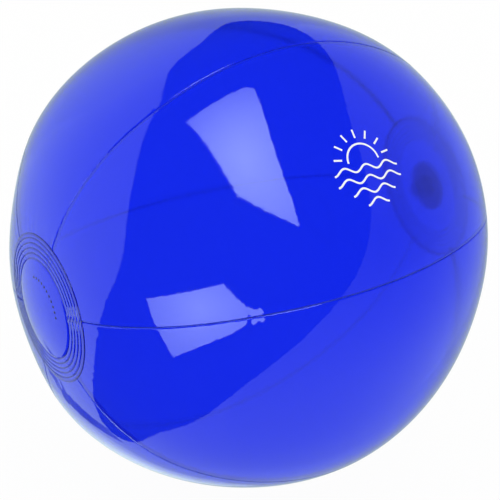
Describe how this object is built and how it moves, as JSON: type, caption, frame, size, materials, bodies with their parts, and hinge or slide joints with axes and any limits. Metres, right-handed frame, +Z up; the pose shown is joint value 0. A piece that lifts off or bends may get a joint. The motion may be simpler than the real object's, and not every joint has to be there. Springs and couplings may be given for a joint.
{
  "type": "inflatable beach ball",
  "caption": "Inflated ball of see-through blue film, welded from gore panels between two ribbed end discs, with a push-in air valve and captive stopper.",
  "frame": {"origin": "middle of the ball's bounding box, on the polar axis", "axes": "+Z up as the ball lies, +X along the polar axis out of the valve, so the plain end disc faces -X"},
  "size_m": [0.2722, 0.2798, 0.2822],
  "materials": {
    "blue_film": "glossy see-through soft PVC film",
    "seam_weld": "two films fused by heat, darker where they double",
    "disc_film": "glossy see-through soft PVC film with pressed weld ridges",
    "valve_moulding": "satin injection-moulded soft PVC"
  },
  "bodies": {
    "ball": {"panel_1": "blue_film", "panel_2": "blue_film", "panel_3": "blue_film", "panel_4": "blue_film", "panel_5": "blue_film", "panel_6": "blue_film", "seam_1": "seam_weld", "seam_2": "seam_weld", "seam_3": "seam_weld", "seam_4": "seam_weld", "seam_5": "seam_weld", "seam_6": "seam_weld", "end_disc_plain": "disc_film", "end_disc_valve": "disc_film", "valve_flange": "valve_moulding", "valve_web": "valve_moulding"},
    "stem": {"valve_stem": "valve_moulding"},
    "stopper": {"valve_stopper": "valve_moulding"},
    "flap": {"check_flap": "valve_moulding"}
  },
  "joints": [
    {"name": "valve_push", "type": "slide", "parent": "ball", "child": "stem", "axis": [1, 0, 0], "range_m": [0, 0.011], "deforming": ["valve_web"]},
    {"name": "stopper_swing", "type": "hinge", "parent": "stem", "child": "stopper", "pos_m": [0.13617, 0, 0.0075], "axis": [0, -1, 0], "range_deg": [0, 150]},
    {"name": "flap_open", "type": "hinge", "parent": "stem", "child": "flap", "pos_m": [0.12202, 0, -0.0042], "axis": [0, -1, 0], "range_deg": [0, 40], "stiffness_Nm_per_rad": 0.0005}
  ]
}
